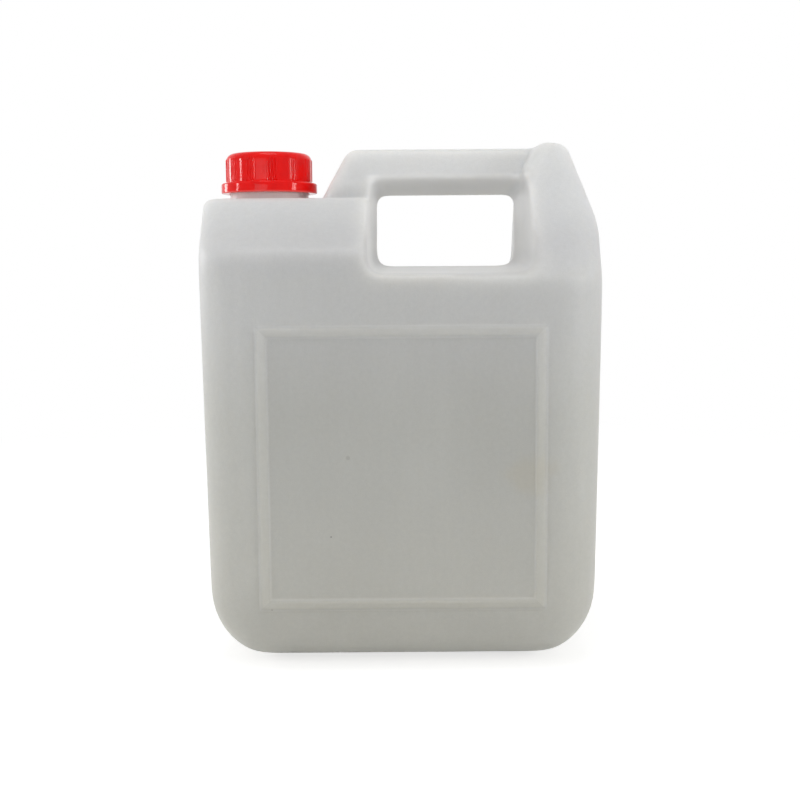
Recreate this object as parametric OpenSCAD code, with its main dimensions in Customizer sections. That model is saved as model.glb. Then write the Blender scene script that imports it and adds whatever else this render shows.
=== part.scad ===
// Five-litre jerrycan: a blow-moulded bottle with a hollow handle, a screw cap and its liner.
// Z is up, the front face looks along -Y, and the base stands on Z = 0. Sizes in millimetres.

/* [Body] */
// Height over all, to the top of the rear column
height = 248.6; // [240:0.2:300]
// Width across the shoulders
body_w = 189.4; // [170:0.2:230]
// How far each side wall draws in from the platform down to the base
side_draw = 3; // [0:0.1:8]
// Depth between the flat front and back faces
body_d = 142; // [120:1:180]
// How far the flat platform that the neck stands on lies below the top
platform_drop = 27.1; // [26:0.1:32]
// Height of the sloping shoulder below the platform
shoulder_h = 26.2; // [22:0.1:32]
// Depth of the platform
platform_d = 78; // [60:1:90]
// Radius of the upright corners
corner_r = 22; // [12:1:30]
// Radius of the platform's corners
platform_r = 13; // [10:1:20]
// Radius of the rounded edge round the base
base_r = 35.5; // [18:0.5:38]
// Radius of the platform's edge
edge_r = 3.5; // [3:0.5:6]
// Wall of the moulding
wall = 1.4; // [1:0.1:2.2]

/* [Handle] */
// How far the grip's top lies below the column's
grip_drop = 2.1; // [1.6:0.1:6]
// Height of the grip above the hand hole
grip_h = 22.7; // [22.1:0.1:25]
// Height of the grip above its waist, where it is thickest
grip_upper_h = 14.2; // [11:0.1:17]
// Thickness of the grip at its waist
grip_d = 34; // [28:1:40]
// Thickness of the grip at its top
grip_top_d = 20; // [14:1:26]
// Lean of the handle's front leg from the upright
leg_lean = 27.5; // [15:0.5:32]
// Length of the platform, from the side wall to the handle's leg
platform_w = 56.3; // [54:0.1:62]
// Width of the leg at its foot, up to the hand hole
leg_w = 26.8; // [23:0.2:32]
// Height of the hand hole
hole_h = 35; // [34:0.5:38]
// Corner radius of the hand hole
hole_r = 5; // [3:0.5:8]
// Sideways flare of the hand hole within the grip's thickness
hole_flare = 3.2; // [2:0.1:8]

/* [Column] */
// Width of the rear column beside the hand hole
column_w = 37.3; // [34:0.1:42]
// Height of the column's sloping faces
column_slope_h = 65.6; // [60:0.2:66.4]
// Thickness of the column at its top
column_top_d = 40; // [30:1:46]
// Height of the part of the column whose outer edge leans in
lean_h = 44.6; // [38:0.2:48]
// Lean of that edge from the upright
column_lean = 17.2; // [10:0.2:22]
// Radius of the column's top edge
column_edge_r = 4.5; // [3:0.5:7]

/* [Label frame] */
// Distance from the side wall to the raised frame
frame_side = 28.4; // [27:0.1:45]
// Height of the frame's lower edge
frame_z = 30.4; // [30:0.2:44]
// Distance from the frame's upper edge to the shoulder
frame_below = 33.1; // [20:0.1:45]
// Width of the band
frame_band = 5.2; // [3:0.1:8]
// How far the band stands out of the face
frame_proud = 0.9; // [0.5:0.1:1.5]
// Outer corner radius of the band
frame_r = 3; // [1:0.5:5]

/* [Neck] */
// Distance from the side wall to the neck's axis
neck_in = 28.8; // [27.5:0.1:32]
// Radius of the neck's foot, below the cap
neck_foot_r = 19.6; // [19:0.1:19.8]
// Height of the foot above the platform
neck_foot_h = 7; // [6.4:0.1:8]
// Radius of the neck between the threads
neck_r = 17.9; // [17.6:0.1:18.1]
// Radius of the mouth's bore
bore_r = 16; // [14:0.1:16.2]
// Height of the neck's rim above the platform
neck_h = 20.3; // [20:0.1:22]

/* [Thread] */
// Rise of the thread in one turn
pitch = 5; // [4.6:0.1:5.4]
// Height of the ridge on the neck
thread_h = 1.3; // [0.9:0.1:1.4]
// Width of the ridge at its root
thread_w = 1.7; // [1.2:0.1:2]
// Turns of the ridge on the neck
neck_turns = 1.5; // [1:0.25:1.75]
// Turns of the ridge in the cap
cap_turns = 1.25; // [1:0.25:1.5]
// Clearance between the threads and what faces them
thread_gap = 0.4; // [0.3:0.05:0.6]

/* [Cap] */
// Radius of the cap's skirt
skirt_r = 21.3; // [21.2:0.1:22.5]
// Thickness of the cap's top
cap_top = 2; // [1.5:0.1:3]
// Radius of the cap's upper edge
cap_edge_r = 3.4; // [2:0.1:3.6]
// Radius of the collar at the cap's foot
collar_r = 24; // [23:0.1:26]
// Height of the collar
collar_h = 5; // [4:0.1:6]
// Gap between the collar and the platform
collar_gap = 3.8; // [3.4:0.1:5]
// Groups of grip ribs round the skirt
rib_groups = 12; // [8:1:14]
// Ribs in each group
ribs_per_group = 4; // [3:1:5]
// Angle between two ribs of a group
rib_step = 3.4; // [3:0.1:4]
// Width of a rib
rib_w = 0.55; // [0.4:0.05:0.8]
// How far a rib stands out of the skirt
rib_proud = 0.3; // [0.2:0.05:0.5]
// Turn of the rib pattern from the front
rib_phase = 10.5; // [0:0.5:30]

/* [Liner] */
// Thickness of the liner
liner_t = 1.2; // [0.8:0.1:2]
// Clearance round the liner's edge
liner_gap = 0.3; // [0.2:0.05:0.5]

/* [Hidden] */
$fn = 96;

// Steps in each upright corner, and the angle between two rings of a rounded edge
corner_steps = 6;
base_step = 15;
edge_step = 30;

// Steps in a turn of thread, and in each rounded corner of the handle, the label frame and the cap
thread_steps = 30;
outline_steps = 6;
frame_steps = 3;
cap_steps = 8;

// Smallest corner radius that a ring keeps
root = 2;

// Places that follow from the sizes above
half_d = body_d / 2;
platform_z = height - platform_drop;
shoulder_z = platform_z - shoulder_h;
grip_top = height - grip_drop;
grip_waist_z = grip_top - grip_upper_h;
hole_top = grip_top - grip_h;
hole_z = hole_top - hole_h;
column_z = height - column_slope_h;
lean_z = height - lean_h;
frame_w = body_w - 2 * frame_side;
frame_h = shoulder_z - frame_below - frame_z;
neck_x = neck_in - body_w / 2;
leg_x = platform_w - body_w / 2;
hole_x = leg_x + leg_w;
hole_w = body_w / 2 - column_w - hole_x;
split_x = hole_x + hole_w / 2;
split_overlap = 1;
mouth_z = platform_z + neck_h;
cap_z = platform_z + collar_gap;
ceiling_z = mouth_z + liner_t;
cap_height = ceiling_z + cap_top - cap_z;
thread_crest = neck_r + thread_h;
socket_r = thread_crest + thread_gap;

// Flare of the hand hole upwards and downwards, within the grip's thickness and at the faces
grip_flare_up = 9.5;
grip_flare_down = 1.2;
face_flare_up = 18;
face_flare_down = 4;
face_flare_extra = 1;
flare_past = 6;
flare_margin = 2;

// The grip's section widens below its waist, and its foot and its end lie inside the body
waist_drop = 2.8;
grip_sink = 6;
grip_end = 8;
grip_corner_r = 8;
grip_edge_r = 4;

// The column's inner face stands inside the hole's flare, then leans back above the grip's waist;
// below its narrow part the column is one with the body
column_overlap = 1;
column_x = hole_x + hole_w + hole_flare - column_overlap;
column_back_rise = 3;
column_back_z = grip_waist_z + column_back_rise;
column_back_lean = 0.55;
column_narrow_drop = 17;
column_narrow_z = column_back_z - column_narrow_drop;
column_narrow_h = 10;
column_corner_r = 11;
column_back_r = 2;
bend_h = 8;

// How far a ridge, a rib and a cut reach into or past what they join
thread_sink = 0.4;
rib_sink = 0.8;
past = 1;

// Clearances inside the cap, and its small edges
foot_gap = 0.5;
foot_clear = 2.2;
thread_end_gap = 0.3;
collar_foot_r = 0.6;
collar_edge_r = 0.8;

// Heights at which the two threads start, and the turn that sets one half a pitch from the other
neck_thread_z = platform_z + neck_foot_h + thread_w;
cap_thread_z = mouth_z - thread_end_gap - thread_w / 2 - pitch * cap_turns;
cap_thread_turn = 360 * (cap_thread_z - neck_thread_z) / pitch - 180;

// Half of the body's width at a height, from the tapered side walls
function half_w(z) = body_w / 2 - side_draw * (1 - z / platform_z);

// Value between a at height za and b at height zb
function between(z, za, a, zb, b) = a + (b - a) * (z - za) / (zb - za);

// Rounded rectangle as a ring of points at one height; q is the radius of its two left corners
function ring(x0, x1, y0, y1, r, z, q = 0) =
    let (
        s = q > 0 ? q : r,
        corners = [[x1 - r, y1 - r, r, 0], [x0 + s, y1 - s, s, 90],
            [x0 + s, y0 + s, s, 180], [x1 - r, y0 + r, r, 270]]
    )
        [for (c = corners, i = [0:corner_steps])
            let (a = c[3] + 90 * i / corner_steps)
                [c[0] + c[2] * cos(a), c[1] + c[2] * sin(a), z]];

// Outline with the corner at each point rounded to the radius in its third value
function rounded(points, steps = outline_steps) = [
    for (i = [0:len(points) - 1])
        let (
            p = [points[i][0], points[i][1]],
            before = points[(i + len(points) - 1) % len(points)],
            after = points[(i + 1) % len(points)],
            u = [before[0], before[1]] - p,
            v = [after[0], after[1]] - p,
            un = u / norm(u),
            vn = v / norm(v),
            half = acos(un * vn) / 2,
            r = points[i][2],
            centre = p + (un + vn) / norm(un + vn) * r / sin(half),
            from = p + un * r / tan(half) - centre,
            sweep = (un[0] * vn[1] - un[1] * vn[0] > 0 ? -1 : 1) * (180 - 2 * half)
        )
            if (r == 0) p
            else for (k = [0:steps])
                let (a = sweep * k / steps)
                    centre + [from[0] * cos(a) - from[1] * sin(a), from[0] * sin(a) + from[1] * cos(a)]
];

// Closed skin through a stack of rings, lowest first
module loft(rings) {
    n = len(rings[0]);
    last = len(rings) - 1;
    sides = [
        for (k = [0:last - 1], i = [0:n - 1])
            let (a = k * n + i, b = k * n + (i + 1) % n)
                each [[a, a + n, b], [b, a + n, b + n]]
    ];
    bottom = [[for (i = [0:n - 1]) i]];
    top = [[for (i = [n - 1:-1:0]) last * n + i]];
    polyhedron([for (r = rings) each r], concat(bottom, sides, top), convexity = 6);
}

// Each shape below lies skin inside the moulding's outer surface: 0 is the outside itself
function base_rings(skin) = [
    for (a = [90:-base_step:0])
        let (
            inset = base_r - (base_r - skin) * cos(a),
            z = base_r - (base_r - skin) * sin(a),
            x = half_w(z) - inset,
            y = half_d - inset
        )
            ring(-x, x, -y, y, max(corner_r - inset, root), z)
];

// Rings of the sloping shoulder and of the platform's rounded edge
function shoulder_rings(skin) = [
    let (z = shoulder_z - skin / 2, x = half_w(z) - skin, y = half_d - skin)
        ring(-x, x, -y, y, corner_r - skin, z),
    for (a = [0:edge_step:90])
        let (
            inset = edge_r - (edge_r - skin) * cos(a),
            z = platform_z - edge_r + (edge_r - skin) * sin(a),
            slope_y = between(z + skin / 2, shoulder_z, half_d, platform_z, platform_d / 2),
            x = half_w(z) - inset,
            y = slope_y - inset
        )
            ring(-x, x, -y, y, between(z, shoulder_z, corner_r, platform_z, platform_r) - inset, z)
];

// Outer edge of the column, which leans in by two steps
function column_edge(z) =
    half_w(min(z, lean_z))
    - tan(column_lean / 2) * max(0, min(z - lean_z, bend_h))
    - tan(column_lean) * max(0, z - lean_z - bend_h);

// Rings of the column, from the level where its faces start to slope
function column_ring(z, inset, skin) =
    let (
        slope_y = between(z + skin / 3, column_z, half_d, height, column_top_d / 2),
        narrow = z > column_narrow_z,
        left = narrow ? column_x + column_back_lean * max(0, z - column_back_z) : -half_w(z),
        r = between(z, column_z, corner_r, height, column_corner_r) - inset,
        q = narrow ? column_back_r - skin / 2 : r
    )
        ring(left + inset, column_edge(z) - inset, inset - slope_y, slope_y - inset, r, z, q);

function column_rings(skin) = [
    for (z = [column_z - skin / 3, lean_z, lean_z + bend_h,
        column_narrow_z, column_narrow_z + column_narrow_h, column_back_z])
        column_ring(z, skin, skin),
    for (a = [0:edge_step:90])
        column_ring(
            height - column_edge_r + (column_edge_r - skin) * sin(a),
            column_edge_r - (column_edge_r - skin) * cos(a),
            skin
        )
];

// The half of a shape on one side of the hand hole's middle, with a little more where the two meet
module left_of_split() {
    intersection() {
        children();
        translate([split_x + split_overlap - 2 * body_w, -body_d, -past])
            cube([2 * body_w, 2 * body_d, 2 * height]);
    }
}

module right_of_split() {
    intersection() {
        children();
        translate([split_x - split_overlap, -body_d, -past])
            cube([2 * body_w, 2 * body_d, 2 * height]);
    }
}

// The handle's front leg and grip, seen from the front and cut to their section
module grip(skin) {
    foot_z = platform_z - grip_sink;
    lean = tan(leg_lean);
    side = skin / cos(leg_lean);
    top = grip_top - skin;
    low_x = leg_x - lean * (platform_z - foot_z) + side;
    high_x = leg_x + lean * (top - platform_z) + side;
    end_x = column_x + grip_end;
    low_z = grip_waist_z - waist_drop;
    low_y = between(low_z, grip_waist_z, grip_d / 2, grip_top, grip_top_d / 2) - skin;
    top_y = grip_top_d / 2 - skin;
    intersection() {
        translate([0, body_d, 0]) rotate([90, 0, 0]) linear_extrude(2 * body_d)
            polygon(rounded([[low_x, foot_z, 0], [end_x, foot_z, 0], [end_x, top, 0],
                [high_x, top, grip_corner_r - skin]]));
        translate([-body_w, 0, 0]) rotate([90, 0, 90]) linear_extrude(2 * body_w)
            polygon(rounded([[-low_y, foot_z, 0], [low_y, foot_z, 0], [low_y, low_z, 0],
                [top_y, top, grip_edge_r], [-top_y, top, grip_edge_r], [-low_y, low_z, 0]]));
    }
}

// The hand hole, which flares from the parting line to both faces
module hand_hole(grow) {
    face_y = half_d + flare_past;
    grip_y = grip_d / 2 + flare_margin;
    at_face = [hole_flare + face_flare_extra, face_flare_up, face_flare_down];
    at_grip = [hole_flare, grip_flare_up, grip_flare_down];
    sections = [[-face_y, at_face], [-grip_y, at_grip], [0, [0, 0, 0]], [grip_y, at_grip], [face_y, at_face]];
    rotate([90, 0, 0])
        loft([for (s = sections)
            let (f = s[1])
                ring(hole_x - f[0] - grow, hole_x + hole_w + f[0] + grow,
                    hole_z - f[2] - grow, hole_top + f[1] + grow, hole_r + f[0] / 3 + grow, s[0])]);
}

// The whole moulding as a solid body without its cavity
module moulding(skin) {
    left_of_split() loft(concat(base_rings(skin), shoulder_rings(skin)));
    right_of_split() loft(concat(base_rings(skin), column_rings(skin)));
    grip(skin);
}

// The raised frame on the front face, where a label would go
module label_frame() {
    x = frame_w / 2;
    inner_x = x - frame_band;
    translate([0, -half_d + wall / 2, 0]) rotate([90, 0, 0]) linear_extrude(wall / 2 + frame_proud)
        difference() {
            polygon(rounded([[-x, frame_z, frame_r], [x, frame_z, frame_r],
                [x, frame_z + frame_h, frame_r], [-x, frame_z + frame_h, frame_r]], frame_steps));
            polygon([[-inner_x, frame_z + frame_band], [inner_x, frame_z + frame_band],
                [inner_x, frame_z + frame_h - frame_band], [-inner_x, frame_z + frame_h - frame_band]]);
        }
}

// A ridge that winds up round the Z axis, from radius r_root to radius r_tip
module ridge(r_root, r_tip, turns, start) {
    steps = ceil(thread_steps * turns);
    half_root = thread_w / 2;
    half_tip = thread_w / 4;
    section = [[r_root, -half_root], [r_tip, -half_tip], [r_tip, half_tip], [r_root, half_root]];
    order = r_tip > r_root ? [3, 2, 1, 0] : [0, 1, 2, 3];
    points = [
        for (k = [0:steps], s = order)
            let (a = start + 360 * turns * k / steps, rise = pitch * turns * k / steps)
                [section[s][0] * cos(a), section[s][0] * sin(a), section[s][1] + rise]
    ];
    sides = [
        for (k = [0:steps - 1], i = [0:3])
            let (a = 4 * k + i, b = 4 * k + (i + 1) % 4)
                each [[a, a + 4, b], [b, a + 4, b + 4]]
    ];
    ends = [[0, 1, 2, 3], [for (i = [3:-1:0]) 4 * steps + i]];
    polyhedron(points, concat(ends, sides), convexity = 8);
}

// The neck's solid, with its wider foot and its thread
module neck() {
    translate([neck_x, 0, 0]) {
        translate([0, 0, platform_z - wall]) cylinder(h = neck_h + wall, r = neck_r);
        translate([0, 0, platform_z - wall]) cylinder(h = neck_foot_h + wall, r = neck_foot_r);
        translate([0, 0, neck_thread_z]) ridge(neck_r - thread_sink, thread_crest, neck_turns, 0);
    }
}

module bottle() {
    color("gainsboro") difference() {
        union() {
            moulding(0);
            label_frame();
            mirror([0, 1, 0]) label_frame();
            neck();
        }
        difference() {
            moulding(wall);
            hand_hole(wall);
        }
        hand_hole(0);
        translate([neck_x, 0, platform_z - 2 * wall])
            cylinder(h = neck_h + 3 * wall, r = bore_r);
    }
}

// The foam disc that seals the rim
module liner() {
    color("whitesmoke") translate([neck_x, 0, mouth_z])
        cylinder(h = liner_t, r = socket_r - liner_gap);
}

// The cap's outer form, turned round its axis
module cap_blank() {
    rotate_extrude()
        polygon(rounded([[0, 0, 0], [collar_r - collar_foot_r, 0, 0], [collar_r, collar_foot_r, 0],
            [collar_r, collar_h, collar_edge_r], [skirt_r, collar_h, 0],
            [skirt_r, cap_height, cap_edge_r], [0, cap_height, 0]], cap_steps));
}

module cap_ribs() {
    spread = rib_step * (ribs_per_group - 1) / 2;
    for (g = [0:rib_groups - 1], k = [0:ribs_per_group - 1])
        rotate(rib_phase - 90 + 360 * g / rib_groups + rib_step * k - spread)
            translate([skirt_r - rib_sink, -rib_w / 2, collar_h - rib_sink])
                cube([rib_sink + rib_proud, rib_w, cap_height - cap_edge_r - collar_h]);
}

module cap() {
    color("red") translate([neck_x, 0, cap_z]) {
        difference() {
            union() {
                cap_blank();
                cap_ribs();
            }
            translate([0, 0, -past]) cylinder(h = ceiling_z - cap_z + past, r = socket_r);
            translate([0, 0, -past])
                cylinder(h = neck_foot_h - collar_gap + foot_clear, r = neck_foot_r + foot_gap);
        }
        translate([0, 0, cap_thread_z - cap_z])
            ridge(socket_r + thread_sink, neck_r + thread_gap, cap_turns, cap_thread_turn);
    }
}

bottle();
liner();
cap();
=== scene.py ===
import math

import bmesh
import bpy
import numpy as np
from mathutils import Matrix, Vector


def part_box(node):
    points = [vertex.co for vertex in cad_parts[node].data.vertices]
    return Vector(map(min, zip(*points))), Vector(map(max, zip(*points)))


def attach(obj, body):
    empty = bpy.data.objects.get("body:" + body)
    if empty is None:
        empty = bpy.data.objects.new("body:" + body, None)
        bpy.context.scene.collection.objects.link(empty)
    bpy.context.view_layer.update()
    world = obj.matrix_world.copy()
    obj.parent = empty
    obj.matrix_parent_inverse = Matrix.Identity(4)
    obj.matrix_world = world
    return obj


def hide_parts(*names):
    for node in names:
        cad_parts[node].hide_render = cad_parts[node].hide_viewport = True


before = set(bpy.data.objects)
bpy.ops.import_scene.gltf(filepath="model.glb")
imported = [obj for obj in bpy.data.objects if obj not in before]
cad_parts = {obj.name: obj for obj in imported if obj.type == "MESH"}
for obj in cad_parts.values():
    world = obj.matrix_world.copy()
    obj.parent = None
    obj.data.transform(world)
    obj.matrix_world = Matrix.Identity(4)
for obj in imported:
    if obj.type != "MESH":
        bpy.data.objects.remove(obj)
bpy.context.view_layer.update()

MM = 0.001

# Camera, as the photograph was taken, in millimetres and degrees
CAMERA_PLACE = (-0.8, -600, 190.7)
CAMERA_PITCH = 6.70
CAMERA_ROLL = 0.41
CAMERA_LENS = 52.74
CAMERA_CLIP = (0.02, 20)

# Sizes from the frame, in millimetres
BOTTLE_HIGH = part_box("bottle")[1] / MM
CAP_LOW, CAP_HIGH = [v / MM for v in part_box("cap")]
NECK_X = (CAP_LOW.x + CAP_HIGH.x) / 2
MOUTH_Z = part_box("liner")[0].z / MM
TOP_Z = BOTTLE_HIGH.z
CAP_Z = CAP_LOW.z

# The moulding's sizes, in millimetres
FRAME_PROUD = 0.9
HALF_D = BOTTLE_HIGH.y - FRAME_PROUD
HALF_W, SIDE_DRAW = 94.7, 3
CREASE_Z, PLATFORM_Z = 195.3, 221.5
PLATFORM_HALF_D = 39
CORNER_R, PLATFORM_R, BASE_R, EDGE_R = 22, 13, 35.5, 3.5

# The handle
GRIP_TOP, GRIP_WAIST_Z = 246.5, 232.3
GRIP_HALF_D, GRIP_TOP_HALF_D = 17, 10
GRIP_SINK, GRIP_END, WAIST_DROP = 6, 8, 2.8
GRIP_CORNER_R, GRIP_EDGE_R, WAIST_R = 8, 5, 3
LEG_LEAN, LEG_X = 27.5, -38.4
HOLE_X0, HOLE_X1, HOLE_Z0, HOLE_Z1 = -11.6, 57.4, 188.8, 223.8
HOLE_R, HOLE_FLARE = 5, 3.2
SPLIT_X, SPLIT_OVERLAP = (HOLE_X0 + HOLE_X1) / 2, 1
COLUMN_X = HOLE_X1 + HOLE_FLARE - 1
COLUMN_Z, COLUMN_TOP_HALF_D, COLUMN_EDGE_R, COLUMN_CORNER_R = 183, 20, 4.5, 11
COLUMN_BACK_Z, COLUMN_BACK_LEAN, COLUMN_BACK_R = 235.3, 0.55, 7
COLUMN_NARROW_Z, COLUMN_NARROW_H = 218.3, 10
LEAN_Z, BEND_H, COLUMN_LEAN = 204, 8, 17.2

# How far the hand hole flares sideways, upwards and downwards, at the faces and within the grip
FACE_FLARE, GRIP_FLARE = (HOLE_FLARE + 1, 18, 4), (HOLE_FLARE, 9.5, 1.2)
FACE_PAST, GRIP_PAST = 6, 2

# The raised frame on the front and back faces
FRAME_HALF_W, FRAME_Z0, FRAME_Z1, FRAME_BAND, FRAME_R = 66.3, 30.4, 162.2, 5.2, 3

# The neck and its thread, with the small radii of its edges
FOOT_R, FOOT_H, NECK_R, BORE_R, BORE_DEPTH = 19.6, 7, 17.9, 16, 8
FOOT_FILLET, FOOT_SINK, FOOT_EDGE, NECK_FILLET, RIM_R, MOUTH_R = 1.2, 0.3, 0.8, 0.5, 0.6, 0.7
NECK_STEPS = 144
PITCH, CREST_R, THREAD_W, THREAD_SINK = 5, 19.2, 1.7, 0.4
NECK_TURNS, NECK_THREAD_Z = 1.5, 230.2
CAP_TURNS, CAP_THREAD_Z, CAP_THREAD_START, CREST_GAP = 1.25, 234.4, 122.4, 0.4
THREAD_STEPS, THREAD_FADE = 72, 9

# The cap, with heights from its lower edge
SKIRT_R, COLLAR_R, COLLAR_H, SOCKET_R, CAP_EDGE_R = 21.3, 24, 5, 19.6, 3.4
CAP_H, CEILING_H, FOOT_SOCKET_R, FOOT_SOCKET_H = 19.7, 17.7, 20.1, 4.4
CAP_FLAT_R, COLLAR_FILLET, COLLAR_EDGE, LIP_R, SOCKET_LIP, SOCKET_SLOPE = 10, 0.5, 0.9, 0.5, 0.3, 0.6
SKIRT_LEVELS = (16.1, 15.7, 15.3, 14, 12.5, 11, 9.5, 8, 6.8, 6.4, 6.1)
RIB_GROUPS, RIBS, RIB_STEP, RIB_W, RIB_PROUD, RIB_PHASE = 12, 4, 3.4, 0.75, 0.32, 10.5
RIB_LOW, RIB_HIGH, RIB_FADE = COLLAR_H + 1.2, CAP_H - CAP_EDGE_R + 0.9, 0.3
CAP_STEPS = 1440

# Lights: place, width, height and power, in metres and watts
WORLD_LIGHT = 0.60
LAMP_AIM = (0, 0, 0.12)
LAMPS = [("top_softbox", (-0.05, -0.25, 1.15), 0.5, 0.4, 2.4),
         ("front_softbox", (-0.40, -1.30, 0.12), 0.7, 0.5, 2.3),
         ("left_strip", (-0.84, -0.21, 0.30), 0.07, 0.2, 0.9),
         ("back_left_strip", (-0.77, 0.40, 0.30), 0.20, 0.2, 1.1),
         ("right_strip", (0.72, -0.34, 0.30), 0.14, 0.2, 1.2)]
FLOOR_TONE, FLOOR_SHADE, FLOOR_GLOW = 0.72, 0.5, 0.68
FLOOR_SIZE, FLOOR_Z, SHADOW_NEAR, SHADOW_FAR = 6.0, -0.0002, 0.35, 0.8

# The bottle's colour at heights in millimetres, with painted light and shade: darker over the lower body,
# paler up the shoulder and handle
HDPE_TONES_AND_PAINTED_LIGHT = [(0, (0.70, 0.685, 0.60)), (28, (0.60, 0.585, 0.52)), (110, (0.60, 0.592, 0.54)),
              (180, (0.67, 0.662, 0.63)), (197, (0.645, 0.638, 0.625)), (225, (0.765, 0.76, 0.735)),
              (248, (0.83, 0.82, 0.78))]
# Painted light on the hand hole's walls
HOLE_WALL_PAINTED_LIGHT = (0.93, 0.915, 0.88)
# Painted light on the neck: the cap's red glow on it
NECK_PAINTED_GLOW = (0.95, 0.88, 0.83)
# Painted light: the short sides painted paler, from 50 to 90 mm off the middle, by these factors
SIDE_PAINTED_LIGHT = (50, 90, 0.98, 1.05)
ROUGHNESS, ROUGHNESS_SPREAD, HDPE_GLOSS, HDPE_IOR = 0.42, 0.14, 0.25, 1.5
SOFTNESS, SOFT_DEPTH, SOFT_COLOURS = 0.7, 0.014, (1.0, 0.93, 0.82)

# Its uneven milkiness: stretch along Z, scale per millimetre, detail, roughness and strength
CLOUDS, FLOW = (0.7, 0.022, 2.5, 0.45, 0.12), (0.06, 0.16, 3.0, 0.55, 0.04)
MOTTLE, GRAIN = (1, 0.45, 4.0, 0.6, 0.10), (1, 3.2, 2.0, 0.6, 0.20)

# Specks on the front: x, z, radius and strength; and the stain's place and half sizes
SPECKS = [(-24.8, 102.0, 1.3, 0.20), (-33.0, 65.2, 0.45, 0.8), (-60.9, 30.8, 0.5, 0.6)]
SPECK_COLOUR, DOT_SPACING, DOT_SHARE, DOT_STRENGTH = (0.16, 0.14, 0.11), 0.045, 0.28, 0.30
STAIN, STAIN_COLOUR, STAIN_STRENGTH = (58.5, 93.1, 14, 10), (0.60, 0.52, 0.36), 0.22
SCUFF_COLOUR, SCUFF_BASE, SCUFF_ELSEWHERE = (0.40, 0.385, 0.35), 0.10, 0.015
PARTING_COLOUR, PARTING_STRENGTH, PARTING_RISE = (0.78, 0.78, 0.77), 0.16, 0.10
# Painted shade on the label frame's band, more on its level parts
BAND_PAINTED_SHADE, BAND_SHADE_AT_SIDES, BAND_SHADE_WHERE_LEVEL = (0.30, 0.30, 0.27), 0.05, 0.13
# Painted highlights along the label frame's two edges
RIM_PAINTED_HIGHLIGHT, RIM_HIGHLIGHT_STRENGTH = (0.90, 0.90, 0.90), 0.10
TEXTURE_RISE, WAVE_RISE = 0.035, 0.9

# The cap's and the foam's colours
CAP_DARK, CAP_LIGHT = (0.76, 0.0, 0.0), (0.86, 0.001, 0.0)
CAP_ROUGHNESS, CAP_GLOSS, CAP_IOR = 0.09, 0.18, 1.5
LIP_COLOUR, LIP_STRENGTH = (0.85, 0.30, 0.26), 0.30
DUST_COLOUR, DUST_STRENGTH = (0.62, 0.22, 0.18), 0.05
FOAM_DARK, FOAM_LIGHT, FOAM_GLOSS = (0.74, 0.735, 0.71), (0.84, 0.84, 0.82), 0.3
GROOVE_COLOUR, GROOVE_STRENGTH, GROOVE_DEPTH = (0.60, 0.585, 0.54), 0.25, 0.2

# Mesh making: steps in a corner, the radius of a square one, and the voxels' sizes in millimetres
CORNER_STEPS, SQUARE, LEAST_EDGE = 18, 0.01, 0.5
BASE_STEP, EDGE_STEP, EDGE_RINGS = 5, 15, 7
VOXEL, CAVITY_SKIN, CAVITY_VOXEL = 1.0, 2.6, 3.2
BODY_ROUNDS, SOFT_ROUNDS, CAVITY_ROUNDS = 10, 40, 3
CREASE_SPREAD, COLUMN_SPREAD = 8, 14
FRAME_DEPTH, FRAME_PAST, FRAME_FLANK = 3, 0.5, 1.6
BODY_TRIANGLES = 130000
SHARP_ANGLE = 38


def between(z, za, a, zb, b):
    return a + (b - a) * (z - za) / (zb - za)


def half_w(z):
    return HALF_W - SIDE_DRAW * (1 - z / PLATFORM_Z)


def ring(x0, x1, y0, y1, radius, z, left_radius=None):
    """Rounded rectangle at height z, with its own radius on the left where one is given."""
    left = radius if left_radius is None else left_radius
    corners = [(x1, y1, radius, 0), (x0, y1, left, 90), (x0, y0, left, 180), (x1, y0, radius, 270)]
    points = []
    for x, y, r, start in corners:
        cx = x - r if x == x1 else x + r
        cy = y - r if y == y1 else y + r
        for i in range(CORNER_STEPS + 1):
            a = math.radians(start + 90 * i / CORNER_STEPS)
            points.append((cx + r * math.cos(a), cy + r * math.sin(a), z))
    return points


def new_object(name, points, faces):
    mesh = bpy.data.meshes.new(name)
    mesh.from_pydata(points, [], faces)
    mesh.validate()
    obj = bpy.data.objects.new(name, mesh)
    bpy.context.scene.collection.objects.link(obj)
    return obj


def outward(obj):
    """Turns the faces of a closed mesh outwards."""
    bm = bmesh.new()
    bm.from_mesh(obj.data)
    bmesh.ops.recalc_face_normals(bm, faces=bm.faces)
    bm.to_mesh(obj.data)
    bm.free()
    return obj


def loft(name, rings):
    """Closed skin through a stack of rings, in the order that they are given."""
    n = len(rings[0])
    last = (len(rings) - 1) * n
    faces = [list(range(n))[::-1], [last + i for i in range(n)]]
    for k in range(len(rings) - 1):
        for i in range(n):
            a, b = k * n + i, k * n + (i + 1) % n
            faces.append([a, b, b + n, a + n])
    return new_object(name, [p for r in rings for p in r], faces)


def rounded(points, steps=8):
    """Outline with each corner rounded to the radius in its third value."""
    result = []
    for i, (x, y, r) in enumerate(points):
        p = Vector((x, y))
        if r == 0:
            result.append(p)
            continue
        u = (Vector(points[i - 1][:2]) - p).normalized()
        v = (Vector(points[(i + 1) % len(points)][:2]) - p).normalized()
        half = u.angle(v) / 2
        centre = p + (u + v).normalized() * r / math.sin(half)
        start = p + u * r / math.tan(half) - centre
        turn = math.pi - 2 * half
        if u.x * v.y - u.y * v.x > 0:
            turn = -turn
        result += [centre + Matrix.Rotation(turn * k / steps, 2) @ start for k in range(steps + 1)]
    return result


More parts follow.
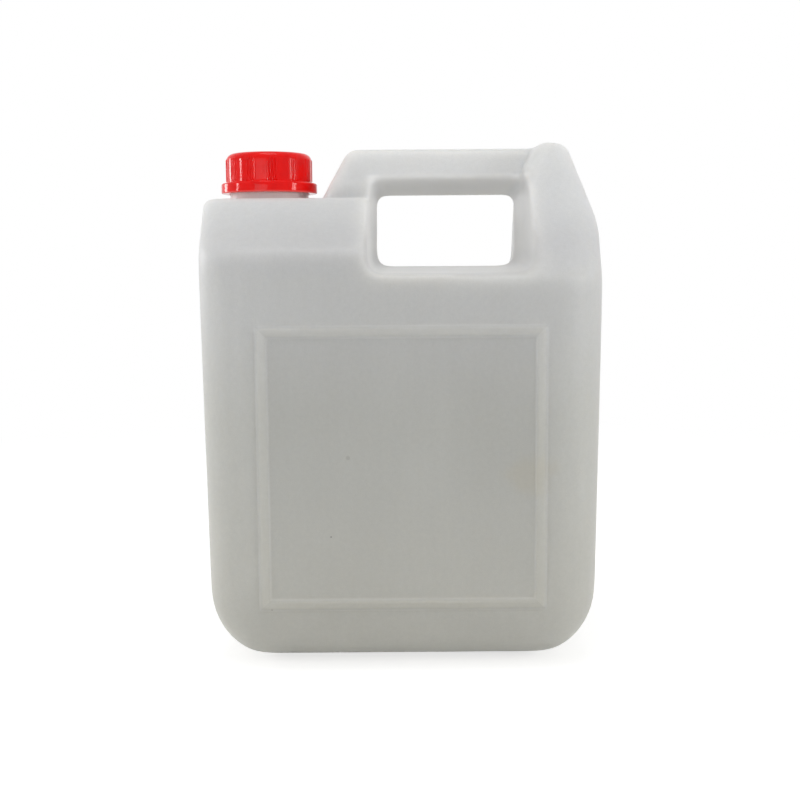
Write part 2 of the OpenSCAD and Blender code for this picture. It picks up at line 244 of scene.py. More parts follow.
def prism(name, outline, axis, low, high):
    """Outline of (a, b) points extruded along X or Y; a is the other level axis and b is Z."""
    def place(p, t):
        return (t, p.x, p.y) if axis == "X" else (p.x, t, p.y)
    n = len(outline)
    points = [place(p, low) for p in outline] + [place(p, high) for p in outline]
    faces = [list(range(n))[::-1], [n + i for i in range(n)]]
    faces += [[i, (i + 1) % n, n + (i + 1) % n, n + i] for i in range(n)]
    return outward(new_object(name, points, faces))


def lathe(name, profile, steps, raise_by=None):
    """Closed solid turned round the neck's axis. The profile's (radius, height) points start and end on
    the axis; raise_by(angles, k) says how far ring k stands out."""
    angles = 2 * math.pi * np.arange(steps) / steps
    points, starts = [], []
    for k, p in enumerate(profile):
        starts.append(len(points))
        if p[0] == 0:
            points.append((NECK_X, 0, p[1]))
            continue
        r = p[0] + (raise_by(angles, k) if raise_by else 0)
        xs, ys = NECK_X + r * np.cos(angles), r * np.sin(angles)
        points += [(x, y, p[1]) for x, y in zip(xs, ys)]
    faces = []
    for k, m in zip(range(len(profile) - 1), range(1, len(profile))):
        a, b = starts[k], starts[m]
        for i in range(steps):
            j = (i + 1) % steps
            if profile[k][0] == 0:
                faces.append((a, b + i, b + j))
            elif profile[m][0] == 0:
                faces.append((a + i, b, a + j))
            else:
                faces.append((a + i, b + i, b + j, a + j))
    return outward(new_object(name, points, faces))


def arc(cx, cz, r, start, end, steps):
    """Points (radius, height) on an arc about (cx, cz), in degrees."""
    angles = [math.radians(start + (end - start) * i / steps) for i in range(steps + 1)]
    return [(cx + r * math.cos(a), cz + r * math.sin(a)) for a in angles]


def ridge(name, r_root, r_tip, turns, z, start):
    """Screw ridge round the neck's axis that fades out at both ends."""
    steps = round(THREAD_STEPS * turns)
    points = []
    for k in range(steps + 1):
        a = math.radians(start + 360 * turns * k / steps)
        rise = z + PITCH * turns * k / steps
        t = min(1, k / THREAD_FADE, (steps - k) / THREAD_FADE)
        tip = between(smooth_step(t), 0, 0.9 * r_root + 0.1 * r_tip, 1, r_tip)
        half = THREAD_W / 2 * between(t, 0, 0.4, 1, 1)
        for r, h in ((r_root, -half), (tip, -half / 2), (tip, half / 2), (r_root, half)):
            points.append((NECK_X + r * math.cos(a), r * math.sin(a), rise + h))
    faces = [(0, 1, 2, 3), tuple(4 * steps + i for i in (3, 2, 1, 0))]
    for k in range(steps):
        for i in range(4):
            a, b = 4 * k + i, 4 * k + (i + 1) % 4
            faces.append((a, a + 4, b + 4, b))
    return outward(new_object(name, points, faces))


def settle(obj):
    """Replaces the object's mesh by its evaluated one and drops its modifiers."""
    graph = bpy.context.evaluated_depsgraph_get()
    mesh = bpy.data.meshes.new_from_object(obj.evaluated_get(graph))
    obj.modifiers.clear()
    obj.data = mesh


def combine(obj, other, operation, solver="EXACT"):
    """Joins, cuts or keeps what obj shares with other, which is removed."""
    mod = obj.modifiers.new("combine", "BOOLEAN")
    mod.operation = operation
    mod.solver = solver
    mod.object = other
    settle(obj)
    bpy.data.objects.remove(other)


def copy_of(obj):
    twin = bpy.data.objects.new(obj.name + "_copy", obj.data.copy())
    bpy.context.scene.collection.objects.link(twin)
    return twin


def joined(name, objects):
    """One object with the meshes of several, which are removed."""
    bm = bmesh.new()
    for o in objects:
        bm.from_mesh(o.data)
        bpy.data.objects.remove(o)
    mesh = bpy.data.meshes.new(name)
    bm.to_mesh(mesh)
    bm.free()
    obj = bpy.data.objects.new(name, mesh)
    bpy.context.scene.collection.objects.link(obj)
    return obj


def remesh(obj, voxel):
    mod = obj.modifiers.new("skin", "REMESH")
    mod.mode = "VOXEL"
    mod.voxel_size = voxel
    settle(obj)


def base_rings(skin, right=None, left=None):
    """Rings of the rounded edge round the base; right or left is where the other half takes over."""
    rings = []
    for angle in range(90, -1, -BASE_STEP):
        a = math.radians(angle)
        inset = BASE_R - (BASE_R - skin) * math.cos(a)
        z = BASE_R - (BASE_R - skin) * math.sin(a)
        x0 = inset - half_w(z) if left is None else left
        x1 = half_w(z) - inset if right is None else right
        y = HALF_D - inset
        r = max(CORNER_R - inset, 2)
        rings.append(ring(x0, x1, -y, y, SQUARE if left is None else r, z, r if left is None else SQUARE))
    return rings


def left_form(skin=0):
    """The left half of the moulding: body, sloping shoulder and platform."""
    right = SPLIT_X + SPLIT_OVERLAP
    rings = base_rings(skin, right=right)
    y = HALF_D - skin
    z = CREASE_Z - skin / 2
    rings.append(ring(skin - half_w(z), right, -y, y, SQUARE, z, CORNER_R - skin))
    edge = max(EDGE_R - skin, LEAST_EDGE)
    for k in range(EDGE_RINGS):
        a = math.radians(EDGE_STEP * k)
        inset = skin + edge * (1 - math.cos(a))
        z = PLATFORM_Z - skin - edge * (1 - math.sin(a))
        y = between(z + skin / 2, CREASE_Z, HALF_D, PLATFORM_Z, PLATFORM_HALF_D) - inset
        r = between(z, CREASE_Z, CORNER_R, PLATFORM_Z, PLATFORM_R) - inset
        rings.append(ring(inset - half_w(z), right, -y, y, SQUARE, z, r))
    return loft("left_form", rings)


def column_edge(z):
    lean = math.tan(math.radians(COLUMN_LEAN))
    half_lean = math.tan(math.radians(COLUMN_LEAN / 2))
    over = z - LEAN_Z
    return (half_w(min(z, LEAN_Z)) - half_lean * max(0, min(over, BEND_H))
            - lean * max(0, over - BEND_H))


def column_ring(z, inset, skin):
    y = between(z + skin / 3, COLUMN_Z, HALF_D, TOP_Z, COLUMN_TOP_HALF_D) - inset
    r = between(z, COLUMN_Z, CORNER_R, TOP_Z, COLUMN_CORNER_R) - inset
    if z <= COLUMN_NARROW_Z:
        return ring(SPLIT_X - SPLIT_OVERLAP, column_edge(z) - inset, -y, y, r, z, SQUARE)
    left = COLUMN_X + COLUMN_BACK_LEAN * max(0, z - COLUMN_BACK_Z) + inset
    return ring(left, column_edge(z) - inset, -y, y, r, z, max(min(r, COLUMN_BACK_R) - inset, 1))


def right_form(skin=0):
    """The right half of the moulding: body and column."""
    rings = base_rings(skin, left=SPLIT_X - SPLIT_OVERLAP)
    heights = (COLUMN_Z - skin / 3, LEAN_Z, LEAN_Z + BEND_H, COLUMN_NARROW_Z,
               COLUMN_NARROW_Z + COLUMN_NARROW_H, COLUMN_BACK_Z)
    rings += [column_ring(z, skin, skin) for z in heights]
    edge = max(COLUMN_EDGE_R - skin, LEAST_EDGE)
    for k in range(EDGE_RINGS):
        a = math.radians(EDGE_STEP * k)
        z = TOP_Z - skin - edge * (1 - math.sin(a))
        rings.append(column_ring(z, skin + edge * (1 - math.cos(a)), skin))
    return loft("right_form", rings)


def grip_form(skin=0):
    """The handle's front leg and grip."""
    foot = PLATFORM_Z - GRIP_SINK
    top = GRIP_TOP - skin
    lean = math.tan(math.radians(LEG_LEAN))
    side = skin / math.cos(math.radians(LEG_LEAN))
    end = COLUMN_X + GRIP_END
    front = rounded([(LEG_X - lean * GRIP_SINK + side, foot, 0), (end, foot, 0), (end, top, 0),
                     (LEG_X + lean * (top - PLATFORM_Z) + side, top, GRIP_CORNER_R - skin)])
    low_z = GRIP_WAIST_Z - WAIST_DROP
    low_y = between(low_z, GRIP_WAIST_Z, GRIP_HALF_D, GRIP_TOP, GRIP_TOP_HALF_D) - skin
    top_y = GRIP_TOP_HALF_D - skin
    section = rounded([(-low_y, foot, 0), (low_y, foot, 0), (low_y, low_z, WAIST_R),
                       (top_y, top, GRIP_EDGE_R), (-top_y, top, GRIP_EDGE_R), (-low_y, low_z, WAIST_R)])
    grip = prism("grip_form", front, "Y", -HALF_D, HALF_D)
    combine(grip, prism("grip_section", section, "X", -HALF_W, HALF_W), "INTERSECT")
    return grip


def hand_hole_form(grow=0):
    face_y, grip_y = HALF_D + FACE_PAST, GRIP_HALF_D + GRIP_PAST
    rings = []
    for depth, (side, up, down) in ((-face_y, FACE_FLARE), (-grip_y, GRIP_FLARE), (0, (0, 0, 0)),
                                    (grip_y, GRIP_FLARE), (face_y, FACE_FLARE)):
        flat = ring(HOLE_X0 - side - grow, HOLE_X1 + side + grow,
                    HOLE_Z0 - down - grow, HOLE_Z1 + up + grow, HOLE_R + side / 3 + grow, depth)
        rings.append([(x, z, y) for x, z, y in flat])
    obj = loft("hand_hole_form", rings)
    obj.data.transform(Matrix(((1, 0, 0, 0), (0, 0, -1, 0), (0, 1, 0, 0), (0, 0, 0, 1))))
    return obj


def points_of(obj):
    co = np.empty(len(obj.data.vertices) * 3)
    obj.data.vertices.foreach_get("co", co)
    return co.reshape(-1, 3)


def set_points(obj, co):
    obj.data.vertices.foreach_set("co", co.ravel())
    obj.data.update()


def relax(obj, rounds, weight=None):
    """Smooths the mesh: each point moves towards the mean of its neighbours, by its weight."""
    co = points_of(obj)
    n = len(co)
    edges = np.empty(len(obj.data.edges) * 2, np.int64)
    obj.data.edges.foreach_get("vertices", edges)
    a, b = edges.reshape(-1, 2).T
    count = (np.bincount(a, minlength=n) + np.bincount(b, minlength=n))[:, None]
    share = 0.5 if weight is None else 0.5 * weight(co)[:, None]
    for _ in range(rounds):
        mean = np.stack([np.bincount(a, co[b, k], n) + np.bincount(b, co[a, k], n) for k in range(3)], 1)
        co += share * (mean / count - co)
    set_points(obj, co)


def near_soft_edges(co):
    """1 at the shoulder's crease, the column's root and the base's corners, which are well rounded."""
    crease = np.exp(-((co[:, 2] - CREASE_Z) / CREASE_SPREAD) ** 2)
    base = np.clip((CORNER_R + BASE_R - co[:, 2]) / BASE_R, 0, 1)
    column = np.exp(-((co[:, 2] - COLUMN_Z) / COLUMN_SPREAD) ** 2)
    column = np.where(co[:, 0] > SPLIT_X, column, 0)
    return np.clip(crease + base + column, 0, 1)


def smooth_step(x):
    """Rises smoothly from 0 to 1 while x does."""
    t = np.clip(x, 0, 1)
    return t * t * (3 - 2 * t)


def raise_label_frames(obj):
    """Raises the band round the label's place on the front and back faces."""
    co = points_of(obj)
    half_h = (FRAME_Z1 - FRAME_Z0) / 2
    qx = np.abs(co[:, 0]) - (FRAME_HALF_W - FRAME_R)
    qz = np.abs(co[:, 2] - FRAME_Z0 - half_h) - (half_h - FRAME_R)
    outside = np.hypot(np.maximum(qx, 0), np.maximum(qz, 0)) + np.minimum(np.maximum(qx, qz), 0) - FRAME_R
    from_middle = np.abs(outside + FRAME_BAND / 2)
    lift = FRAME_PROUD * smooth_step((FRAME_BAND / 2 + FRAME_PAST - from_middle) / FRAME_FLANK)
    on_face = np.abs(co[:, 1]) > HALF_D - FRAME_DEPTH
    co[:, 1] += np.where(on_face, np.sign(co[:, 1]) * lift, 0)
    set_points(obj, co)


def moulded(name, skin, voxel):
    """The three forms with the hand hole cut, joined under one skin."""
    hole = hand_hole_form(skin)
    parts = [left_form(skin), right_form(skin), grip_form(skin)]
    for part in parts:
        combine(part, copy_of(hole), "DIFFERENCE")
    bpy.data.objects.remove(hole)
    body = joined(name, parts)
    remesh(body, voxel)
    return body


def make_bottle():
    body = moulded("bottle_body", 0, VOXEL)
    relax(body, BODY_ROUNDS)
    relax(body, SOFT_ROUNDS, near_soft_edges)
    raise_label_frames(body)
    mod = body.modifiers.new("fewer", "DECIMATE")
    mod.ratio = min(1, BODY_TRIANGLES / triangles(body))
    settle(body)
    low, foot_top = PLATFORM_Z - FOOT_FILLET, PLATFORM_Z + FOOT_H
    root_r = FOOT_R + FOOT_FILLET
    neck = lathe("neck", [(0, low), (root_r, low), (root_r, PLATFORM_Z - FOOT_SINK)]
                 + arc(root_r, PLATFORM_Z - FOOT_SINK + FOOT_FILLET, FOOT_FILLET, 270, 180, 6)
                 + arc(FOOT_R - FOOT_EDGE, foot_top - FOOT_EDGE, FOOT_EDGE, 0, 90, 5)
                 + arc(NECK_R + NECK_FILLET, foot_top + NECK_FILLET, NECK_FILLET, 270, 180, 4)
                 + arc(NECK_R - RIM_R, MOUTH_Z - RIM_R, RIM_R, 0, 90, 5) + [(0, MOUTH_Z)], NECK_STEPS)
    combine(body, neck, "UNION", "MANIFOLD")
    thread = ridge("thread", NECK_R - THREAD_SINK, CREST_R, NECK_TURNS, NECK_THREAD_Z, 0)
    combine(body, thread, "UNION", "MANIFOLD")
    cavity = moulded("cavity", CAVITY_SKIN, CAVITY_VOXEL)
    relax(cavity, CAVITY_ROUNDS)
    combine(body, cavity, "DIFFERENCE", "MANIFOLD")
    low, above = PLATFORM_Z - BORE_DEPTH, MOUTH_Z + 1
    bore = lathe("bore", [(0, low), (BORE_R, low), (BORE_R, MOUTH_Z - MOUTH_R)]
                 + arc(BORE_R + MOUTH_R, MOUTH_Z - MOUTH_R, MOUTH_R, 180, 90, 5)
                 + [(BORE_R + MOUTH_R, above), (0, above)], NECK_STEPS)
    combine(body, bore, "DIFFERENCE", "MANIFOLD")
    return body


def make_cap():
    edge_r = SKIRT_R - CAP_EDGE_R
    skirt = (arc(edge_r, CAP_H - CAP_EDGE_R, CAP_EDGE_R, 90, 0, 12)
             + [(SKIRT_R, h) for h in SKIRT_LEVELS]
             + arc(SKIRT_R + COLLAR_FILLET, COLLAR_H + 0.6, COLLAR_FILLET, 180, 270, 4))
    collar = (arc(COLLAR_R - COLLAR_EDGE, COLLAR_H - 0.8, COLLAR_EDGE, 90, 0, 6)
              + [(COLLAR_R, h) for h in (3, 2)]
              + arc(COLLAR_R - LIP_R, LIP_R, LIP_R, 0, -90, 5))
    socket = (arc(FOOT_SOCKET_R + SOCKET_LIP, SOCKET_LIP, SOCKET_LIP, 270, 180, 3)
              + [(FOOT_SOCKET_R, FOOT_SOCKET_H), (SOCKET_R, FOOT_SOCKET_H + SOCKET_SLOPE),
                 (SOCKET_R, CEILING_H), (0, CEILING_H)])
    profile = [(0, CAP_H), (CAP_FLAT_R, CAP_H)] + skirt + collar + socket
    centres = [g * 360 / RIB_GROUPS + RIB_PHASE - 90 + RIB_STEP * (k - (RIBS - 1) / 2)
               for g in range(RIB_GROUPS) for k in range(RIBS)]

    def ribs(angles, k):
        r, h = profile[k]
        if r < SKIRT_R - 0.6 or not RIB_LOW - 1 < h < RIB_HIGH + 1 or k > len(skirt) + 1:
            return 0
        ends = smooth_step((h - RIB_LOW + 0.6) / 0.6) * smooth_step((RIB_HIGH - h) / 0.8)
        away = np.abs((np.degrees(angles)[:, None] - np.array(centres) + 180) % 360 - 180)
        near = away.min(1) * math.radians(1) * SKIRT_R
        return RIB_PROUD * ends * smooth_step((RIB_W / 2 + RIB_FADE / 2 - near) / RIB_FADE)

    cap = lathe("screw_cap", profile, CAP_STEPS, ribs)
    cap.data.transform(Matrix.Translation((0, 0, CAP_Z)))
    thread = ridge("cap_thread", SOCKET_R + THREAD_SINK, NECK_R + CREST_GAP,
                   CAP_TURNS, CAP_THREAD_Z, CAP_THREAD_START)
    combine(cap, thread, "UNION", "MANIFOLD")
    return cap


def triangles(obj):
    return sum(len(p.vertices) - 2 for p in obj.data.polygons)


def finish_mesh(obj):
    """To metres, with smooth shading and sharp edges kept."""
    obj.data.transform(Matrix.Scale(MM, 4))
    for poly in obj.data.polygons:
        poly.use_smooth = True
    obj.data.set_sharp_from_angle(angle=math.radians(SHARP_ANGLE))
    print(obj.name, "triangles", triangles(obj))


def make_camera():
    data = bpy.data.cameras.new("photo_camera")
    data.sensor_width = 36
    data.lens = CAMERA_LENS
    data.clip_start, data.clip_end = CAMERA_CLIP
    cam = bpy.data.objects.new("photo_camera", data)
    bpy.context.scene.collection.objects.link(cam)
    tilt = Matrix.Rotation(math.radians(90 - CAMERA_PITCH), 4, "X")
    roll = Matrix.Rotation(math.radians(-CAMERA_ROLL), 4, "Z")
    cam.matrix_world = Matrix.Translation(Vector(CAMERA_PLACE) * MM) @ tilt @ roll
    bpy.context.scene.camera = cam


class Nodes:
    """Short helper for building a node tree."""

    def __init__(self, tree):
        self.tree = tree
        tree.nodes.clear()

    def add(self, kind, inputs=None, **settings):
        node = self.tree.nodes.new(kind)
        for key, value in settings.items():
            setattr(node, key, value)
        for key, value in (inputs or {}).items():
            self.put(node.inputs[key], value)
        return node

    def put(self, socket, value):
        if isinstance(value, bpy.types.NodeSocket):
            self.tree.links.new(value, socket)
        else:
            socket.default_value = value

    def math(self, operation, a, b=0.0, c=0.0):
        return self.add("ShaderNodeMath", {0: a, 1: b, 2: c}, operation=operation).outputs[0]

    def product(self, first, *others):
        for other in others:
            first = self.math("MULTIPLY", first, other)
        return first

    def apart(self, a, b=0.0):
        """How far a is from b."""
        return self.math("ABSOLUTE", self.math("SUBTRACT", a, b))

    def length(self, a, b):
        """Length of the flat vector (a, b)."""
        return self.math("SQRT", self.math("ADD", self.product(a, a), self.product(b, b)))

    def place_in_mm(self):
        """The place in the object in millimetres, as a vector and its three values."""
        place = self.add("ShaderNodeTexCoord").outputs["Object"]
        mm = self.add("ShaderNodeVectorMath", {0: place, 3: 1 / MM}, operation="SCALE").outputs[0]
        axes = self.add("ShaderNodeSeparateXYZ", {0: mm}).outputs
        return mm, axes["X"], axes["Y"], axes["Z"]

    def span(self, value, low, high, to_low=0.0, to_high=1.0):
        """Maps low..high smoothly to to_low..to_high, and holds the ends."""
        node = self.add("ShaderNodeMapRange", {"Value": value, "From Min": low, "From Max": high,
                                               "To Min": to_low, "To Max": to_high})
        node.interpolation_type = "SMOOTHSTEP"
        return node.outputs["Result"]

    def noise(self, place, scale, detail=2.0, roughness=0.5):
        node = self.add("ShaderNodeTexNoise", {"Vector": place, "Scale": scale, "Detail": detail,
                                               "Roughness": roughness})
        return node.outputs["Fac"]

    def stretched(self, place, along_z):
        node = self.add("ShaderNodeMapping", {"Vector": place, "Scale": (1, 1, along_z)})
        return node.outputs["Vector"]

    def bump(self, relief, strength):
        """Normal from a relief in millimetres."""
        node = self.add("ShaderNodeBump", {"Strength": strength, "Distance": MM, "Height": relief})
        return node.outputs["Normal"]

    def blend(self, fac, a, b, kind="MIX"):
        """Mixes two colours."""
        node = self.add("ShaderNodeMix", data_type="RGBA", blend_type=kind)
        self.put(node.inputs[0], fac)
        for socket, value in ((node.inputs[6], a), (node.inputs[7], b)):
            self.put(socket, value if isinstance(value, bpy.types.NodeSocket) else (*value, 1))
        return node.outputs[2]


def material(name):
    mat = bpy.data.materials.new(name)
    mat.use_nodes = True
    return mat, Nodes(mat.node_tree)


def background_rays(n):
    """1 for the rays that see the background: the camera's own, and those through or off the object."""
    path = n.add("ShaderNodeLightPath")
    glossy = n.math("MAXIMUM", path.outputs["Is Glossy Ray"], path.outputs["Is Transmission Ray"])
    return n.math("MAXIMUM", path.outputs["Is Camera Ray"], glossy)


def make_world():
    world = bpy.data.worlds.new("studio")
    bpy.context.scene.world = world
    world.use_nodes = True
    n = Nodes(world.node_tree)
    seen = n.add("ShaderNodeBackground", {"Color": (1, 1, 1, 1), "Strength": 1.0})
    lit = n.add("ShaderNodeBackground", {"Color": (1, 1, 1, 1), "Strength": WORLD_LIGHT})
    mix = n.add("ShaderNodeMixShader", {0: background_rays(n), 1: lit.outputs[0], 2: seen.outputs[0]})
    n.add("ShaderNodeOutputWorld", {"Surface": mix.outputs[0]})


def make_lamps():
    for name, place, width, height, energy in LAMPS:
        lamp = bpy.data.lights.new(name, "AREA")
        lamp.shape = "RECTANGLE"
        lamp.size, lamp.size_y = width, height
        lamp.energy = energy
        obj = bpy.data.objects.new(name, lamp)
        bpy.context.scene.collection.objects.link(obj)
        obj.location = place
        obj.rotation_euler = (Vector(LAMP_AIM) - obj.location).to_track_quat("-Z", "Y").to_euler()


def make_floor():
    corners = ((-1, -1), (1, -1), (1, 1), (-1, 1))
    points = [(x * FLOOR_SIZE, y * FLOOR_SIZE, FLOOR_Z) for x, y in corners]
    floor = new_object("studio_floor", points, [(0, 1, 2, 3)])
    mat, n = material("pale_floor")
    plain = n.add("ShaderNodeBsdfDiffuse", {"Color": (*[FLOOR_TONE] * 3, 1)})
    dim = n.add("ShaderNodeBsdfDiffuse", {"Color": (*[FLOOR_SHADE] * 3, 1)})
    glow = n.add("ShaderNodeEmission", {"Color": (1, 1, 1, 1), "Strength": FLOOR_GLOW})
    seen = n.add("ShaderNodeAddShader", {0: dim.outputs[0], 1: glow.outputs[0]})
    white = n.add("ShaderNodeEmission", {"Color": (1, 1, 1, 1), "Strength": 1.0})
    place = n.add("ShaderNodeNewGeometry").outputs["Position"]
    away = n.add("ShaderNodeVectorMath", {0: place}, operation="LENGTH").outputs["Value"]
    far = n.span(away, SHADOW_NEAR, SHADOW_FAR)
    shown = n.add("ShaderNodeMixShader", {0: far, 1: seen.outputs[0], 2: white.outputs[0]})
    rays = background_rays(n)
    mix = n.add("ShaderNodeMixShader", {0: rays, 1: plain.outputs[0], 2: shown.outputs[0]})
    n.add("ShaderNodeOutputMaterial", {"Surface": mix.outputs[0]})
    floor.data.materials.append(mat)


def tone_with_painted_light(n, z):
    """Colour at a height, from the base to the handle, with painted shade low down and painted light up the
    shoulder and handle.
    """
    ramp = n.add("ShaderNodeValToRGB", {"Fac": n.math("DIVIDE", z, TOP_Z)})
    stops = ramp.color_ramp
    stops.interpolation = "EASE"
    while len(stops.elements) < len(HDPE_TONES_AND_PAINTED_LIGHT):
        stops.elements.new(0.5)
    for stop, (height, colour) in zip(stops.elements, HDPE_TONES_AND_PAINTED_LIGHT):
        stop.position = height / TOP_Z
        stop.color = (*colour, 1)
    return ramp.outputs["Color"]


def milkiness_and_painted_side_light(n, mm, x):
    """Painted light that makes the short sides paler, and where the wall is thinner or thicker: broad clouds,
    faint upright flow lines, mottling and grain.
    """
    # painted light: paler towards the short sides
    tone = n.span(n.apart(x), *SIDE_PAINTED_LIGHT)
    for along_z, scale, detail, roughness, amount in (CLOUDS, FLOW, MOTTLE, GRAIN):
        value = n.noise(n.stretched(mm, along_z), scale, detail, roughness)
        tone = n.math("MULTIPLY_ADD", n.math("SUBTRACT", value, 0.5), amount, tone)
    return n.add("ShaderNodeCombineXYZ", {0: tone, 1: tone, 2: tone}).outputs[0]


def stain_mask(n, mm, x, y, z):
    """The faint yellowish stain on the front at the right, as in the photograph."""
    sx = n.math("DIVIDE", n.math("SUBTRACT", x, STAIN[0]), STAIN[2])
    sz = n.math("DIVIDE", n.math("SUBTRACT", z, STAIN[1]), STAIN[3])
    ragged = n.math("SUBTRACT", n.noise(mm, 0.09, 3.0), 0.5)
    uneven = n.math("MULTIPLY_ADD", ragged, 1.1, n.length(sx, sz))
    return n.product(n.span(uneven, 0.35, 1.1, 1, 0), n.math("LESS_THAN", y, 0))


def hole_wall_painted_light_mask(n, x, y, z):
    """The walls of the hand hole, painted paler as painted light for the light that passes through them from
    both sides, least so at the bottom.
    """
    upright = n.product(n.span(z, HOLE_Z0 - 6, HOLE_Z0 - 2),
                        n.span(z, GRIP_WAIST_Z, GRIP_WAIST_Z + 2, 1, 0))
    sides = n.product(n.span(x, HOLE_X0 - 6, HOLE_X0 - 2), n.span(x, HOLE_X1 + 2, HOLE_X1 + 6, 1, 0))
    deep = n.span(n.math("SUBTRACT", HALF_D - 8, n.apart(y)), 0, 10)
    return n.product(upright, sides, deep, n.span(z, HOLE_Z0, HOLE_Z0 + 12, 0.35, 1))


def neck_painted_glow_mask(n, x, y, z):
    """The neck, painted pale and pinkish as painted light for the cap's red glow on it."""
    from_axis = n.length(n.math("SUBTRACT", x, NECK_X), y)
    return n.product(n.span(from_axis, FOOT_R + 0.4, FOOT_R + 1.4, 1, 0),
                     n.span(z, PLATFORM_Z - 1, PLATFORM_Z + 0.5))


def frame_shade_and_highlight_masks(n, x, y, z):
    """The label frame's band, with painted shade that is darker where it is level, and its two edges, with
    painted highlights that make them paler.
    """
    half_h = (FRAME_Z1 - FRAME_Z0) / 2
    from_side = n.math("SUBTRACT", FRAME_HALF_W, n.apart(x))
    from_end = n.math("SUBTRACT", half_h, n.apart(z, FRAME_Z0 + half_h))
    off_middle = n.apart(n.math("MINIMUM", from_side, from_end), FRAME_BAND / 2)
    on_face = n.span(n.apart(y), HALF_D - 2, HALF_D - 0.6)
    inside = n.span(off_middle, FRAME_BAND / 2 - 0.4, FRAME_BAND / 2 + 0.4, 1, 0)
    level = n.math("LESS_THAN", from_end, from_side)
    band = n.product(inside, on_face, n.math("MULTIPLY_ADD", level, BAND_SHADE_WHERE_LEVEL, BAND_SHADE_AT_SIDES))
    rim = n.span(n.apart(off_middle, FRAME_BAND / 2), 0.15, 0.7, 1, 0)
    return band, n.product(rim, on_face, RIM_HIGHLIGHT_STRENGTH)


def speck_mask(n, mm):
    """Small dark specks: those in the photograph, and a few more at other places."""
    specks = 0.0
    for px, pz, size, strength in SPECKS:
        away = n.add("ShaderNodeVectorMath", {0: mm, 1: (px, -HALF_D, pz)}, operation="DISTANCE")
        spot = n.span(away.outputs["Value"], 0.45 * size, size, strength, 0)
        specks = n.math("MAXIMUM", specks, spot)
    cells = n.add("ShaderNodeTexVoronoi", {"Vector": mm, "Scale": DOT_SPACING, "Randomness": 1.0})
    chance = n.add("ShaderNodeSeparateColor", {0: cells.outputs["Color"]}).outputs[0]
    rare = n.math("GREATER_THAN", chance, 1 - DOT_SHARE)
    dots = n.product(n.span(cells.outputs["Distance"], 0.008, 0.02, DOT_STRENGTH, 0), rare)
    return n.math("MAXIMUM", specks, dots)


def hdpe_material():
    """Natural polyethylene: milky, satin, a little yellower towards the base, and darker there as painted
    shade; painted light on handle, hole walls, neck, sides and frame edges.
    """
    mat, n = material("natural_hdpe")
    mm, x, y, z = n.place_in_mm()
    # painted light and shade by height, with the short sides painted paler
    colour = n.blend(1.0, tone_with_painted_light(n, z), milkiness_and_painted_side_light(n, mm, x), "MULTIPLY")
    colour = n.blend(n.product(stain_mask(n, mm, x, y, z), STAIN_STRENGTH), colour, STAIN_COLOUR)
    # painted light on the hand hole's walls
    colour = n.blend(hole_wall_painted_light_mask(n, x, y, z), colour, HOLE_WALL_PAINTED_LIGHT)
    # painted light on the neck
    colour = n.blend(neck_painted_glow_mask(n, x, y, z), colour, NECK_PAINTED_GLOW)
    band, rim = frame_shade_and_highlight_masks(n, x, y, z)
    # painted shade on the frame's band
    colour = n.blend(band, colour, BAND_PAINTED_SHADE)
    # painted highlights along the frame's edges
    colour = n.blend(rim, colour, RIM_PAINTED_HIGHLIGHT)

    # dust and scuffs, mostly where the bottle rubs on the ground: the rounded edge of the base
    scuff = n.noise(n.stretched(mm, 2.5), 0.5, 5.0, 0.65)
    where = n.math("MULTIPLY_ADD", n.span(z, 2, 16, 1, 0), SCUFF_BASE, SCUFF_ELSEWHERE)
    rub = n.product(n.span(scuff, 0.56, 0.72), where)
    colour = n.blend(rub, colour, SCUFF_COLOUR)
    colour = n.blend(speck_mask(n, mm), colour, SPECK_COLOUR)

    # the mould's parting line runs over the top, down the two short sides and under the base
    parting = n.span(n.apart(y), 0.12, 0.5, 1, 0)
    colour = n.blend(n.product(parting, PARTING_STRENGTH), colour, PARTING_COLOUR)

    relief = n.product(n.noise(mm, 1.6, 3.0, 0.6), TEXTURE_RISE)
    waves = n.noise(n.stretched(mm, 0.35), 0.05)
    relief = n.math("MULTIPLY_ADD", waves, WAVE_RISE, relief)
    relief = n.math("MULTIPLY_ADD", parting, PARTING_RISE, relief)

    patches = n.noise(mm, 0.12, 3.0, 0.6)
    rough = n.math("MULTIPLY_ADD", patches, ROUGHNESS_SPREAD, ROUGHNESS - ROUGHNESS_SPREAD / 2)
    rough = n.math("MULTIPLY_ADD", rub, 0.6, rough)
    shader = n.add("ShaderNodeBsdfPrincipled", {
        "Base Color": colour, "Roughness": rough, "Normal": n.bump(relief, 0.55),
        "Specular IOR Level": HDPE_GLOSS, "IOR": HDPE_IOR, "Subsurface Weight": SOFTNESS,
        "Subsurface Radius": SOFT_COLOURS, "Subsurface Scale": SOFT_DEPTH})
    n.add("ShaderNodeOutputMaterial", {"Surface": shader.outputs[0]})
    return mat


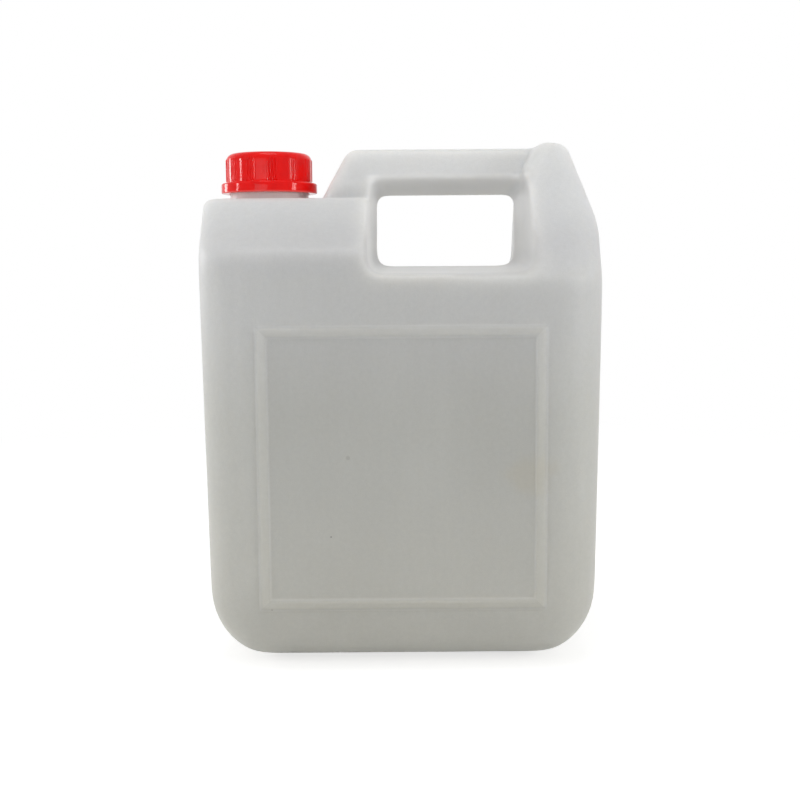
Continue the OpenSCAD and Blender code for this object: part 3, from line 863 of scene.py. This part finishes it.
def cap_material():
    """Glossy red polyethylene with fine scratches, a little dust and a paler pink band on the collar's lower
    lip.
    """
    mat, n = material("red_cap")
    mm, x, y, z = n.place_in_mm()
    swirl = n.noise(mm, 0.16, 3.0, 0.55)
    colour = n.blend(n.span(swirl, 0.3, 0.7), CAP_DARK, CAP_LIGHT)
    from_axis = n.length(n.math("SUBTRACT", x, NECK_X), y)
    lip = n.product(n.span(z, CAP_Z + 0.35, CAP_Z + 0.95, 1, 0),
                    n.span(from_axis, COLLAR_R - 2.2, COLLAR_R - 1.0))
    colour = n.blend(n.product(lip, LIP_STRENGTH), colour, LIP_COLOUR)
    dust = n.span(n.noise(mm, 1.1, 4.0, 0.7), 0.60, 0.78)
    colour = n.blend(n.product(dust, DUST_STRENGTH), colour, DUST_COLOUR)
    scratches = n.noise(n.stretched(mm, 12), 0.5, 4.0, 0.7)
    rough = n.math("MULTIPLY_ADD", scratches, 0.10, CAP_ROUGHNESS - 0.05)
    relief = n.product(n.noise(mm, 0.35), 0.02)
    relief = n.math("MULTIPLY_ADD", scratches, 0.012, relief)
    shader = n.add("ShaderNodeBsdfPrincipled", {
        "Base Color": colour, "Roughness": rough, "Normal": n.bump(relief, 0.35),
        "Specular IOR Level": CAP_GLOSS, "IOR": CAP_IOR})
    n.add("ShaderNodeOutputMaterial", {"Surface": shader.outputs[0]})
    return mat


def foam_material():
    """White closed-cell foam with an impressed ring where it seals on the neck's rim."""
    mat, n = material("white_foam")
    mm, x, y, z = n.place_in_mm()
    from_axis = n.length(n.math("SUBTRACT", x, NECK_X), y)
    cells = n.add("ShaderNodeTexVoronoi", {"Vector": mm, "Scale": 2.2})
    groove = n.span(n.apart(from_axis, (BORE_R + NECK_R) / 2), 0.5, 1.1, 1, 0)
    colour = n.blend(n.noise(mm, 0.4, 3.0), FOAM_DARK, FOAM_LIGHT)
    colour = n.blend(n.product(groove, GROOVE_STRENGTH), colour, GROOVE_COLOUR)
    relief = n.math("SUBTRACT", n.product(cells.outputs["Distance"], 0.12), n.product(groove, GROOVE_DEPTH))
    rough = n.math("MULTIPLY_ADD", n.noise(mm, 0.8), 0.2, 0.68)
    shader = n.add("ShaderNodeBsdfPrincipled", {
        "Base Color": colour, "Roughness": rough, "Normal": n.bump(relief, 0.6),
        "Specular IOR Level": FOAM_GLOSS})
    n.add("ShaderNodeOutputMaterial", {"Surface": shader.outputs[0]})
    return mat


def dress(obj, mat, node, body):
    """A finished piece that stands for a CAD node and rides on its body."""
    finish_mesh(obj)
    obj.data.materials.clear()
    obj.data.materials.append(mat)
    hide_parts(node)
    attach(obj, body)


make_camera()
make_world()
make_lamps()
make_floor()
dress(make_bottle(), hdpe_material(), "bottle", "bottle")
dress(make_cap(), cap_material(), "cap", "cap")
foam = foam_material()
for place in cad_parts["liner"].material_slots:
    place.material = foam
bpy.context.scene.view_settings.view_transform = "Standard"
